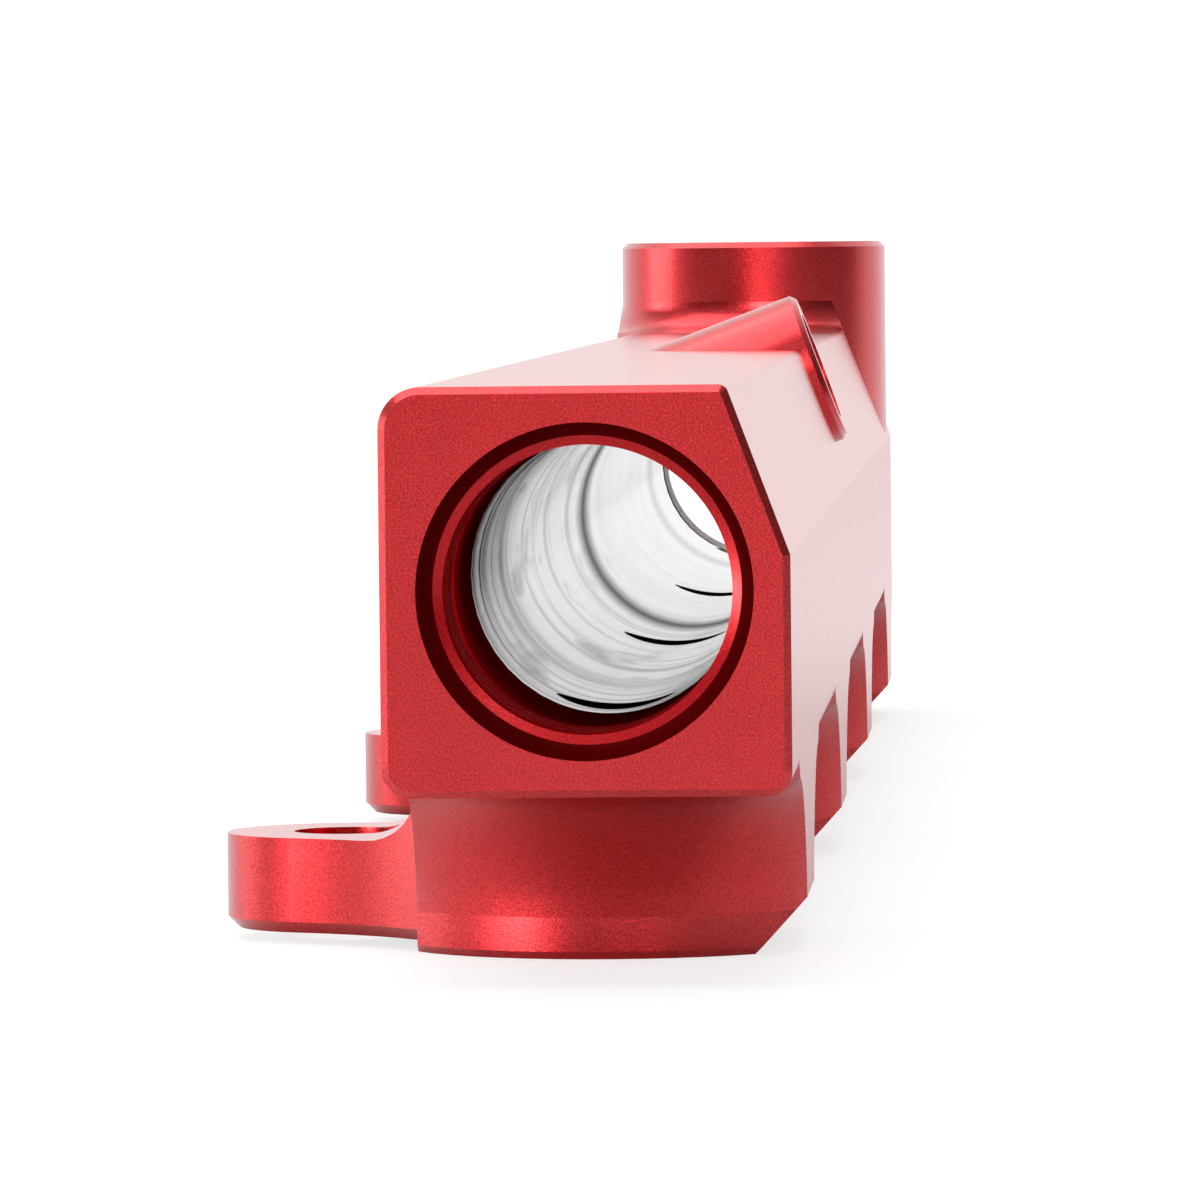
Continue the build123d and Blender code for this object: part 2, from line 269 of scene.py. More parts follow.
class Graph:
    """One node tree, built by calls that each add and wire a node."""

    def __init__(self, tree: bpy.types.NodeTree) -> None:
        """Takes over a node tree and removes its default nodes.

        Args:
            tree: the node tree to fill.
        """
        self.tree = tree
        tree.nodes.clear()

    def plug(self, socket: bpy.types.NodeSocket, value: Any) -> None:
        """Feeds an input socket with a link or a default value.

        Args:
            socket: the input to feed.
            value: a Sock, an output socket, or a plain value.
        """
        if isinstance(value, Sock):
            value = value.value
        if isinstance(value, bpy.types.NodeSocket):
            self.tree.links.new(value, socket)
        elif isinstance(value, (tuple, list, Vector)) and len(value) == 3 and socket.type == "RGBA":
            socket.default_value = (*value, 1.0)
        else:
            socket.default_value = value

    def node(
        self,
        kind: str,
        settings: Optional[dict[str, Any]] = None,
        inputs: Optional[dict[Union[str, int], Any]] = None,
    ) -> bpy.types.Node:
        """Adds a node.

        Args:
            kind: the node's type name.
            settings: attributes to set on the node.
            inputs: values or links for its inputs, by name or index.

        Returns:
            The new node.
        """
        made = self.tree.nodes.new(kind)
        for name, value in (settings or {}).items():
            setattr(made, name, value)
        for key, value in (inputs or {}).items():
            self.plug(made.inputs[key], value)
        return made

    def number(self, socket: bpy.types.NodeSocket) -> Sock:
        """Wraps an output socket so that it can be used in sums."""
        return Sock(self, socket)

    def coords(self) -> bpy.types.NodeSocket:
        """The point's Object coordinates, in metres."""
        return self.node("ShaderNodeTexCoord").outputs["Object"]

    def place(self) -> tuple[Sock, Sock, Sock]:
        """Splits the point's Object coordinates.

        Returns:
            X, Y and Z in millimetres.
        """
        split = self.node("ShaderNodeSeparateXYZ", inputs={0: self.coords()})
        x, y, z = (self.number(split.outputs[k]) / MM for k in range(3))
        return x, y, z

    def point(self, x: Any, y: Any, z: Any) -> bpy.types.NodeSocket:
        """A vector made from three numbers."""
        return self.node("ShaderNodeCombineXYZ", inputs={0: x, 1: y, 2: z}).outputs[0]

    def noise(self, vector: Any, scale: float, detail: float, roughness: float) -> Sock:
        """Noise over a vector.

        Args:
            vector: where it is read.
            scale: how many grains there are to a unit.
            detail: how many finer layers are added.
            roughness: how strong the finer layers are.

        Returns:
            The noise, from 0 to 1.
        """
        made = self.node(
            "ShaderNodeTexNoise",
            inputs={"Vector": vector, "Scale": scale, "Detail": detail, "Roughness": roughness},
        )
        return self.number(made.outputs["Fac"])

    def bump(self, height: Sock, strength: float, depth: float) -> bpy.types.NodeSocket:
        """A bumped normal.

        Args:
            height: the height, from 0 to 1.
            strength: how much of the bump is used.
            depth: how deep it is, in metres.

        Returns:
            The normal.
        """
        return self.node(
            "ShaderNodeBump", inputs={"Strength": strength, "Distance": depth, "Height": height}
        ).outputs[0]

    def blend(self, factor: Any, low: Any, high: Any) -> bpy.types.NodeSocket:
        """Blends two colours.

        Args:
            factor: the second colour's share.
            low: the first colour.
            high: the second colour.

        Returns:
            The blended colour.
        """
        made = self.node(
            "ShaderNodeMix",
            {"data_type": "RGBA", "blend_type": "MIX", "clamp_factor": True},
            {0: factor, 6: low, 7: high},
        )
        return made.outputs[2]

    def dull(self, colour: Any) -> bpy.types.NodeSocket:
        """A fully matt shader, which takes on no light at a flat angle.

        Args:
            colour: its colour.

        Returns:
            The shader.
        """
        return self.node(
            "ShaderNodeBsdfPrincipled",
            inputs={"Base Color": colour, "Roughness": 0.8, "Specular IOR Level": 0.0},
        ).outputs[0]

    def cover(self, factor: Any, under: Any, over: Any) -> bpy.types.NodeSocket:
        """One shader laid over another by a factor."""
        return self.node("ShaderNodeMixShader", inputs={0: factor, 1: under, 2: over}).outputs[0]


# ----------------------------------------------------------------------------- finishes


class Finish(ABC):
    """A surface finish that can be built as a material."""

    name: str

    def material(self) -> bpy.types.Material:
        """Builds the material the first time that it is asked for.

        Returns:
            The material.
        """
        known = bpy.data.materials.get(self.name)
        if known is not None and known.get("finish_built"):
            return known
        made = known or bpy.data.materials.new(self.name)
        made.use_nodes = True
        graph = Graph(made.node_tree)
        surface = self.surface(graph)
        graph.node("ShaderNodeOutputMaterial", inputs={"Surface": surface})
        made["finish_built"] = True
        return made

    @abstractmethod
    def surface(self, graph: Graph) -> bpy.types.NodeSocket:
        """Wires the shader in the graph and returns its output."""


@dataclass(frozen=True)
class WallNoise:
    """Noise over the bore's wall, stretched differently around the bore and along it.

    Attributes:
        across: grains to a millimetre across the bore.
        along: grains to a millimetre along it.
        detail: how many finer layers are added.
        roughness: how strong the finer layers are.
    """

    across: float
    along: float
    detail: float
    roughness: float

    def value(self, graph: Graph) -> Sock:
        """Reads the noise on the wall.

        Args:
            graph: the graph to build in.

        Returns:
            The noise, from 0 to 1.
        """
        x, y, z = graph.place()
        vector = graph.point(x * self.across, y * self.along, z * self.across)
        return graph.noise(vector, 1.0, self.detail, self.roughness)


@dataclass(frozen=True)
class WallStreak:
    """One kind of dull streak on the bore's wall, laid out by noise.

    Attributes:
        noise: the noise that it follows.
        least: noise under this leaves no streak.
        gain: how fast the streak deepens over that.
        strength: the dull share where it is deepest.
    """

    noise: WallNoise
    least: float
    gain: float
    strength: float

    def share(self, graph: Graph) -> Sock:
        """The streak's dull share, from 0 to its strength."""
        return ((self.noise.value(graph) - self.least) * self.gain).clamped() * self.strength


@dataclass(frozen=True)
class WallShadeAndMarks:
    """Painted reflection streaks, painted shade and marks that dull the bare turned wall. All
    lengths are in millimetres.

    Attributes:
        rings: painted reflections, as broad dark rings for the streaks that the glossy bore
            reflects.
        fine_rings: painted reflections, as sharp dark rings between them, near the mouth.
        smears: dull streaks drawn out along the wall.
        mouth: where the fine rings fade out.
        depth_fade: where the rings and smears grow faint, further down the bore.
        least_after_fade: how much of them is left past that.
        shade: where the painted shade inside the mouth fades out along the bore.
        shade_side: where it sets in, up the wall.
        shade_strength: the painted shade's dull share.
        burnish_y: where the burnished line crosses the axis.
        burnish_tilt: how far it leans along the rail for each millimetre to the left or up.
        burnish_half: half of the line's width.
        burnish_edge: how soft its sides are.
        burnish_strength: its dull share.
        rear_ring_y: where the faint dark ring near the rear port lies.
        rear_ring_half: half of the ring's width.
        rear_ring_edge: how soft its sides are.
        rear_ring_strength: its dull share.
    """

    rings: WallStreak = WallStreak(WallNoise(0.035, 0.11, 3.0, 0.55), 0.47, 3.6, 0.52)
    fine_rings: WallStreak = WallStreak(WallNoise(0.0048, 0.24, 3.0, 0.7), 0.48, 4.0, 0.8)
    smears: WallStreak = WallStreak(WallNoise(0.20, 0.040, 3.0, 0.55), 0.55, 4.5, 0.60)
    mouth: Fade = (56.0, 46.0)
    depth_fade: Fade = (150.0, 80.0)
    least_after_fade: float = 0.15
    shade: Fade = (66.0, 40.0)
    shade_side: Fade = (-4.0, 8.0)
    shade_strength: float = 0.55
    burnish_y: float = 161.0
    burnish_tilt: float = 0.56
    burnish_half: float = 6.5
    burnish_edge: float = 11.0
    burnish_strength: float = 0.8
    rear_ring_y: float = 282.0
    rear_ring_half: float = 5.0
    rear_ring_edge: float = 10.0
    rear_ring_strength: float = 0.25

    def burnish(self, graph: Graph) -> Sock:
        """Finds the brownish line that crosses the wall aslant, halfway along.

        Args:
            graph: the graph to build in.

        Returns:
            1 on the line and 0 away from it.
        """
        x, y, z = graph.place()
        upright = y - (z - x) * self.burnish_tilt
        return upright.band(self.burnish_y, self.burnish_half, self.burnish_edge)

    def share(self, graph: Graph) -> Sock:
        """How strongly the wall is dulled, by its painted reflections, painted shade and marks
        together.

        Args:
            graph: the graph to build in.

        Returns:
            The dull share, from 0 to 1.
        """
        _, y, z = graph.place()
        fine_rings = self.fine_rings.share(graph) * y.under(*self.mouth)
        # painted reflections: the dark rings stand for the streaks that the glossy bore reflects
        # into itself
        marks = self.rings.share(graph).larger(fine_rings).larger(self.smears.share(graph))
        depth_fade = y.under(*self.depth_fade) * (1.0 - self.least_after_fade) + self.least_after_fade
        # painted shade: the bare wall is dulled dark inside the mouth, fading out towards the
        # bottom
        shade = y.under(*self.shade) * z.over(*self.shade_side) * self.shade_strength
        line = self.burnish(graph) * self.burnish_strength
        rear_ring = y.band(self.rear_ring_y, self.rear_ring_half, self.rear_ring_edge)
        dulled = (marks * depth_fade + shade).larger(line)
        return dulled.larger(rear_ring * self.rear_ring_strength).clamped()


@dataclass(frozen=True)
class BoreMarks:
    """Which parts of the rail's inside are dyed or bare, and where light and shade are painted on
    them.

    The dye stops a short way down the bore from the front, along a slightly tilted edge where the
    plug sat. Past it the wall is bare turned metal, and so is the rear port's thread, which a
    screwed plug kept clean. All lengths are in millimetres.

    Attributes:
        sizes: the rail's sizes.
        edge: how soft the edge of a machined surface's mark is.
        wall_margin: anything within this of the bore's radius is the bore's wall.
        thread_margin: anything within this of the thread's radius belongs to the port.
        hole_margin: anything within this of a feed hole's radius and foot is the hole's wall.
        rim: the sealing cone's visible edge lies this far inside the seat's radius.
        lead_length: how deep the chamfer behind the sealing cone is.
        plug_y: where the front plug's edge crosses the axis.
        plug_tilt: how far that edge leans along the rail for each millimetre to the left or up.
        plug_softness: how soft that edge is.
        thread_light: where the painted light by the thread fades out, counted from the port's end.
        plug_light: where the painted light by the plug's edge sets in, counted from that edge.
        plug_painted_light: how much painted light the dyed wall gets there, from 0 to 1.
        least_painted_light: how much painted light it gets between the two.
        floor_shade: where the painted shade on the dyed wall's floor ends, up the wall.
        hole_top: where the wall of a feed hole ends, up the hole.
    """

    sizes: RailSizes = SIZES
    edge: float = 0.02
    wall_margin: float = 0.15
    thread_margin: float = 0.075
    hole_margin: float = 0.1
    rim: float = 0.078
    lead_length: float = 1.0
    plug_y: float = 30.0
    plug_tilt: float = 0.112
    plug_softness: float = 0.16
    thread_light: Fade = (5.0, 10.0)
    plug_light: Fade = (-3.0, 2.0)
    plug_painted_light: float = 0.65
    least_painted_light: float = 0.25
    floor_shade: Fade = (-4.5, 9.0)
    hole_top: Fade = (-6.0, 0.5)

    def within(self, graph: Graph, radius: float) -> Sock:
        """1 nearer the bore's axis than a radius and 0 outside it."""
        x, _, z = graph.place()
        return (x * x + z * z).root().under(radius, self.edge)

    def wall(self, graph: Graph) -> Sock:
        """1 on the bore's wall and 0 on every other surface."""
        return self.within(graph, self.sizes.bore_radius + self.wall_margin)

    def port(self, graph: Graph) -> Sock:
        """1 nearer the axis than the end ports' threads reach and 0 outside them."""
        return self.within(graph, self.sizes.thread_radius + self.thread_margin)

    def plug_edge(self, graph: Graph) -> Sock:
        """How far down the bore the front plug's edge lies."""
        x, _, z = graph.place()
        return (z - x) * self.plug_tilt + self.plug_y

    def bare(self, graph: Graph) -> Sock:
        """Finds the bare metal.

        Args:
            graph: the graph to build in.

        Returns:
            1 on the bare wall and on the rear port, and 0 elsewhere.
        """
        _, y, _ = graph.place()
        rear_port = self.sizes.length - self.sizes.port_end - self.wall_margin
        past_plug = self.wall(graph) * y.over(self.plug_edge(graph), self.plug_softness)
        return past_plug.larger(self.port(graph) * y.over(rear_port, self.edge))

    def dyed_wall(self, graph: Graph) -> Sock:
        """Finds the dull dyed wall between the front port and the bare metal.

        Args:
            graph: the graph to build in.

        Returns:
            1 on that wall and 0 elsewhere.
        """
        _, y, _ = graph.place()
        before_plug = y.under(self.plug_edge(graph), self.plug_softness)
        return self.wall(graph) * before_plug * y.over(self.sizes.thread_depth, self.edge)

    def lit(self, graph: Graph) -> Sock:
        """Paints light by the thread and the plug's edge, and shade in its floor, on the dyed wall.

        Args:
            graph: the graph to build in.

        Returns:
            The lightness, from 0 to 1.
        """
        _, y, z = graph.place()
        # painted light and shade: the dyed wall is lighter by the thread and the plug's edge and
        # darker towards its floor
        by_thread = (y - self.sizes.port_end).under(*self.thread_light)
        by_plug = (y - self.plug_edge(graph)).over(*self.plug_light) * self.plug_painted_light
        painted_light = by_thread.larger(by_plug).larger(self.least_painted_light)
        return painted_light * z.over(*self.floor_shade)

    def seat(self, graph: Graph) -> Sock:
        """Finds the front port's sealing cone, turned smooth and duller, with its dark colour as
        painted shade.

        Args:
            graph: the graph to build in.

        Returns:
            1 on the cone and 0 elsewhere.
        """
        _, y, _ = graph.place()
        cone = self.within(graph, self.sizes.seat_radius - self.rim)
        return cone * y.under(self.sizes.seat_depth + self.edge, self.edge)

    def lead(self, graph: Graph) -> Sock:
        """Finds the chamfer that leads into the front port's thread.

        Args:
            graph: the graph to build in.

        Returns:
            1 on the chamfer and 0 elsewhere.
        """
        _, y, _ = graph.place()
        start = self.sizes.seat_depth + self.edge
        past_seat = y.over(start, self.edge)
        return self.port(graph) * past_seat * y.under(start + self.lead_length, self.edge)

    def holes(self, graph: Graph) -> Sock:
        """Finds the walls of the feed holes, between the bore and the injector cups.

        Args:
            graph: the graph to build in.

        Returns:
            1 on those walls and 0 elsewhere.
        """
        x, y, z = graph.place()
        half = self.sizes.injector_spacing / 2
        along = (y - self.sizes.front_overhang).wrapped(-half, half)
        radius = self.sizes.feed_radius + self.hole_margin
        drilled = (x * x + along * along).root().under(radius, self.edge)
        foot = -self.sizes.cup_top - self.hole_margin
        return drilled * z.over(foot, self.edge) * z.under(*self.hole_top)

    def first(self, graph: Graph) -> Sock:
        """1 as far as the first feed hole, whose wall is painted black as painted shade, and 0 past
        it.
        """
        _, y, _ = graph.place()
        return y.under(self.sizes.front_overhang + self.sizes.injector_spacing / 2, self.edge)


@dataclass(frozen=True)
class AnodisedBillet(Finish):
    """Satin red anodise on bead-blasted aluminium, left bare inside the bore.

    Attributes:
        name: the material's name.
        dye: the anodise on the high spots of the blasted grain.
        dye_deep: the anodise between them.
        bare: the bore's bare metal.
        shade: the dyed wall's painted shade, where it is darkest.
        shade_lit: the dyed wall's painted light, where it is lightest.
        seat: the sealing cone's dull share, near black as painted shade.
        lead: the thread chamfer's dull share.
        shade_and_mark_grey: the dark grey of the painted reflection streaks, the painted shade and
            the marks on the bare wall.
        brown: the burnished line on it.
        grey: the walls of the feed holes, painted pale grey as painted light.
        black: the first feed hole's wall, painted black as painted shade for the full shade it lies
            in.
        grain_scale: the blasted grain, in grains to a metre.
        grain_contrast: how strongly the dye follows the grain.
        grain_bump: how much of the grain's height shows in the gloss.
        cloud_scale: the dye's slow change over the surface, in clouds to a metre.
        cloud_contrast: how strongly the dye follows it.
        roughness: the anodise's roughness.
        coat_roughness: the roughness of its sealed skin.
        bare_roughness: the bare metal's least roughness.
        roughness_swing: how much the roughness changes from place to place.
        ring_bump: how much of the tool rings' height shows in the bare metal's gloss.
        bump_depth: the height of the grain and of the rings, in metres.
        seat_dullness: how much of the sealing cone is dull, from 0 to 1.
        lead_dullness: how much of the thread chamfer is dull, from 0 to 1.
        tool_rings: the fine rings of the tool on the bare wall.
        marks: which parts are dyed, bare or in shade.
        wall_shade_and_marks: the painted reflection streaks, painted shade and marks that dull the
            bare wall.
    """

    name: str = "billet_red"
    dye: Colour = (0.78, 0.022, 0.028)
    dye_deep: Colour = (0.50, 0.002, 0.005)
    bare: Colour = (0.96, 0.955, 0.95)
    shade: Colour = (0.09, 0.0005, 0.001)
    shade_lit: Colour = (0.72, 0.005, 0.010)
    seat: Colour = (0.08, 0.0005, 0.001)
    lead: Colour = (0.38, 0.003, 0.006)
    shade_and_mark_grey: Colour = (0.10, 0.085, 0.088)
    brown: Colour = (0.17, 0.085, 0.08)
    grey: Colour = (0.55, 0.54, 0.54)
    black: Colour = (0.004, 0.004, 0.004)
    grain_scale: float = 7000.0
    grain_contrast: float = 2.6
    grain_bump: float = 0.40
    cloud_scale: float = 160.0
    cloud_contrast: float = 0.4
    roughness: float = 0.30
    coat_roughness: float = 0.24
    bare_roughness: float = 0.12
    roughness_swing: float = 0.10
    ring_bump: float = 0.2
    bump_depth: float = 0.00005
    seat_dullness: float = 0.90
    lead_dullness: float = 0.60
    tool_rings: WallNoise = WallNoise(0.0255, 0.85, 5.0, 0.62)
    marks: BoreMarks = BoreMarks()
    wall_shade_and_marks: WallShadeAndMarks = WallShadeAndMarks()

    def anodise(self, graph: Graph) -> bpy.types.NodeSocket:
        """The dyed and sealed blasted surface.

        Args:
            graph: the graph to build in.

        Returns:
            The shader.
        """
        grain = graph.noise(graph.coords(), self.grain_scale, 1.0, 0.5)
        cloud = graph.noise(graph.coords(), self.cloud_scale, 3.0, 0.5)
        grained = (grain - 0.5) * self.grain_contrast
        clouded = (cloud - 0.5) * self.cloud_contrast
        speckle = (grained + clouded + 0.5).clamped()
        return graph.node(
            "ShaderNodeBsdfPrincipled",
            inputs={
                "Base Color": graph.blend(speckle, self.dye_deep, self.dye),
                "Metallic": 1.0,
                "Roughness": self.roughness + (grain - 0.5) * self.roughness_swing,
                "Coat Weight": 1.0,
                "Coat Roughness": self.coat_roughness,
                "Coat IOR": 1.5,
                "Normal": graph.bump(grain, self.grain_bump, self.bump_depth),
            },
        ).outputs[0]

    def turned_metal(self, graph: Graph) -> bpy.types.NodeSocket:
        """The bore's bare wall, with the fine rings of the tool.

        Args:
            graph: the graph to build in.

        Returns:
            The shader.
        """
        rings = self.tool_rings.value(graph)
        return graph.node(
            "ShaderNodeBsdfPrincipled",
            inputs={
                "Base Color": self.bare,
                "Metallic": 1.0,
                "Roughness": self.bare_roughness + rings * self.roughness_swing,
                "Normal": graph.bump(rings, self.ring_bump, self.bump_depth),
            },
        ).outputs[0]

    def dull_colour(self, graph: Graph, bare: Sock, holes: Sock) -> bpy.types.NodeSocket:
        """The colour of the dull share, which differs from place to place in the bore and carries
        painted light and shade.

        Args:
            graph: the graph to build in.
            bare: where the metal is bare.
            holes: where the feed holes' walls are.

        Returns:
            The colour.
        """
        marks = self.marks
        # the sealing cone's near black colour is painted shade over its duller turned finish
        port = graph.blend(marks.lead(graph), self.seat, self.lead)
        # painted light and shade on the dyed wall, between its darkest and lightest colours
        wall = graph.blend(marks.lit(graph), self.shade, self.shade_lit)
        dyed = graph.blend(marks.dyed_wall(graph), port, wall)
        # the dark grey of the painted reflection streaks and painted shade, turning brown along the
        # burnished line
        shade_and_mark_grey = graph.blend(self.wall_shade_and_marks.burnish(graph), self.shade_and_mark_grey, self.brown)
        # painted shade and light in the feed holes: the first is painted black, the others pale
        # grey
        hole = graph.blend(marks.first(graph), self.grey, self.black)
        return graph.blend(holes, graph.blend(bare, dyed, shade_and_mark_grey), hole)

    def surface(self, graph: Graph) -> bpy.types.NodeSocket:
        """Lays dull marks and painted light, shade and reflections over the anodise and the turned
        metal.

        Args:
            graph: the graph to build in.

        Returns:
            The shader.
        """
        marks = self.marks
        bare = marks.bare(graph)
        holes = marks.holes(graph)
        share = marks.dyed_wall(graph) + bare * self.wall_shade_and_marks.share(graph) + holes
        share = share + marks.seat(graph) * self.seat_dullness
        share = share + marks.lead(graph) * self.lead_dullness
        clean = graph.cover(bare, self.anodise(graph), self.turned_metal(graph))
        dull = graph.dull(self.dull_colour(graph, bare, holes))
        return graph.cover(share.clamped(), clean, dull)


@dataclass(frozen=True)
class CutThreadFinish(Finish):
    """A cut thread: fine tool lines along the flanks, and duller than the blasted outside.

    Attributes:
        name: the material's name.
        metal: the colour of the metal where it is clean.
        dull: the colour of the dull share.
        dullness: how much of the surface is dull, from 0 to 1.
        dullness_swing: how much that changes with the tool lines.
        roughness: the clean metal's roughness.
        roughness_swing: how much that changes with them.
        line_scale: the tool lines, in lines to a metre.
        bump: how much of their height shows in the gloss.
        bump_depth: their height, in metres.
    """

    name: str
    metal: Colour
    dull: Colour
    dullness: float
    dullness_swing: float = 0.3
    roughness: float = 0.34
    roughness_swing: float = 0.10
    line_scale: float = 2400.0
    bump: float = 0.15
    bump_depth: float = 0.00003

    def surface(self, graph: Graph) -> bpy.types.NodeSocket:
        """Lays a broken dull share over clean metal.

        Args:
            graph: the graph to build in.

        Returns:
            The shader.
        """
        lines = graph.noise(graph.coords(), self.line_scale, 3.0, 0.6)
        uneven = lines - 0.5
        clean = graph.node(
            "ShaderNodeBsdfPrincipled",
            inputs={
                "Base Color": self.metal,
                "Metallic": 1.0,
                "Roughness": uneven * self.roughness_swing + self.roughness,
                "Normal": graph.bump(lines, self.bump, self.bump_depth),
            },
        )
        share = (uneven * self.dullness_swing + self.dullness).clamped()
        return graph.cover(share, clean.outputs[0], graph.dull(self.dull))


DYED_THREAD = CutThreadFinish("thread_red", (0.60, 0.005, 0.009), (0.21, 0.001, 0.002), 0.90)
BARE_THREAD = CutThreadFinish("thread_bare", (0.86, 0.85, 0.84), (0.30, 0.29, 0.29), 0.35)


@dataclass(frozen=True)
class PaleFloorFinish(Finish):
    """A matt white table top, lifted for the camera so that it burns out to white.

    Attributes:
        name: the material's name.
        white: the table's own colour.
        lift: how far it is lifted close to the rail, which keeps the rail's shadow.
        glow: the strength of the lift.
        near: how far from the rail's axis the lift starts to grow, in millimetres.
        far: how far from it the table is all white, in millimetres.
        backdrop_lift: how far the table is lifted behind the rail, as reflections show it.
        sweep: how far past the rail's end that lift sets in, in millimetres.
        rise: how far on it is complete, in millimetres.
        sizes: the rail's sizes.
    """

    name: str = "pale_floor"
    white: Colour = (0.65, 0.65, 0.655)
    lift: float = 0.58
    glow: float = 1.25
    near: float = 12.0
    far: float = 80.0
    backdrop_lift: float = 0.5
    sweep: float = 17.0
    rise: float = 160.0
    sizes: RailSizes = SIZES

    def away(self, graph: Graph) -> Sock:
        """How far a point of the table is from the rail.

        Args:
            graph: the graph to build in.

        Returns:
            0 close to the rail, rising to 1 far from it.
        """
        x, y, _ = graph.place()
        half = self.sizes.length / 2
        past_end = (abs(y - half) - half).larger(0.0)
        distance = (x * x + past_end * past_end).root()
        return distance.over((self.near + self.far) / 2, self.far - self.near)

    def surface(self, graph: Graph) -> bpy.types.NodeSocket:
        """Mixes a white glow into the table, for the camera and for reflections from behind.

        Args:
            graph: the graph to build in.

        Returns:
            The shader.
        """
        matt = graph.node(
            "ShaderNodeBsdfPrincipled",
            inputs={"Base Color": self.white, "Roughness": 0.9, "Specular IOR Level": 0.1},
        )
        glow = graph.node(
            "ShaderNodeEmission", inputs={"Color": (1.0, 1.0, 1.0), "Strength": self.glow}
        )
        path = graph.node("ShaderNodeLightPath")
        seen = graph.number(path.outputs[Ray.CAMERA.value])
        mirrored = graph.number(path.outputs[Ray.GLOSSY.value])
        _, y, _ = graph.place()
        risen = y.over(self.sizes.length + self.sweep + self.rise / 2, self.rise)
        lift = self.away(graph) * (1.0 - self.lift) + self.lift
        share = (seen * lift).larger(mirrored * risen * self.backdrop_lift)
        return graph.cover(share, matt.outputs[0], glow.outputs[0])


# ------------------------------------------------------------------------------- pieces


@dataclass(frozen=True)
class Port:
    """A port of the rail: where its mouth lies and which way it goes in.

    Attributes:
        name: what it is called in the names of its pieces.
        mouth: the middle of its mouth, in millimetres.
        inward: unit vector from the mouth into the hole, which is the port's own Z.
    """

    name: str
    mouth: Point
    inward: Point

    def matrix(self) -> Matrix:
        """The move from the port's own frame to the row frame.

        Returns:
            The matrix, which takes millimetres to metres.
        """
        forward = Vector(self.inward).normalized()
        side = forward.orthogonal().normalized()
        turn = Matrix((side, forward.cross(side), forward)).transposed().to_4x4()
        return Matrix.Scale(MM, 4) @ Matrix.Translation(Vector(self.mouth)) @ turn


@dataclass
class PortPiece(ABC):
    """A separate visible piece inside a port, made about the port's own axis.

    Attributes:
        kind: what the piece is.
        port: the port that it belongs to.
        finish: its finish.
    """

    CREASE: ClassVar[float] = math.radians(12.0)

    kind: str
    port: Port
    finish: Finish

    @abstractmethod
    def shape(self) -> bmesh.types.BMesh:
        """The piece in the port's own frame, in millimetres."""

    @property
    def name(self) -> str:
        """The object's name."""
        return f"{self.kind}_{self.port.name}_port"

    def build(self) -> bpy.types.Object:
        """Builds the piece, gives it its material and parents it to its body's empty.

        Returns:
            The piece's object, which sits at the origin.
        """
        mesh = self.shape()
        bmesh.ops.recalc_face_normals(mesh, faces=mesh.faces)
        if mesh.calc_volume(signed=True) < 0.0:
            bmesh.ops.reverse_faces(mesh, faces=mesh.faces)
        mesh.transform(self.port.matrix())
        for edge in mesh.edges:
            edge.smooth = edge.calc_face_angle(0.0) < self.CREASE
        for face in mesh.faces:
            face.smooth = True
        data = bpy.data.meshes.new(self.name)
        mesh.to_mesh(data)
        mesh.free()
        data.materials.append(self.finish.material())
        made = bpy.data.objects.new(self.name, data)
        bpy.context.scene.collection.objects.link(made)
        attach(made, ROOT_BODY)
        return made


def closed_section(
    mesh: bmesh.types.BMesh, section: Section
) -> tuple[list[bmesh.types.BMVert], list[bmesh.types.BMEdge]]:
    """Draws a closed section in the plane through a port's axis.

    Args:
        mesh: the bmesh to draw in.
        section: the section's corners in order, as (depth, radius).

    Returns:
        Its corners and its sides.
    """
    corners = [mesh.verts.new((radius, 0.0, depth)) for depth, radius in section]
    sides = [mesh.edges.new(pair) for pair in zip(corners, corners[1:] + corners[:1])]
    return corners, sides


@dataclass
class TurnedRing(PortPiece):
    """A ring turned about a port's axis from a closed section.

    Attributes:
        section: the section's corners in order, as (depth, radius) in millimetres.
        steps: flats around the ring.
    """

    section: Section
    steps: int = 256

    def shape(self) -> bmesh.types.BMesh:
        """Spins the section through a full turn.

        Returns:
            The ring.
        """
        mesh = bmesh.new()
        corners, sides = closed_section(mesh, self.section)
        bmesh.ops.spin(
            mesh, geom=corners + sides, cent=(0, 0, 0), axis=(0, 0, 1), dvec=(0, 0, 0),
            angle=2 * math.pi, steps=self.steps, use_merge=True, use_duplicate=False,
        )
        return mesh


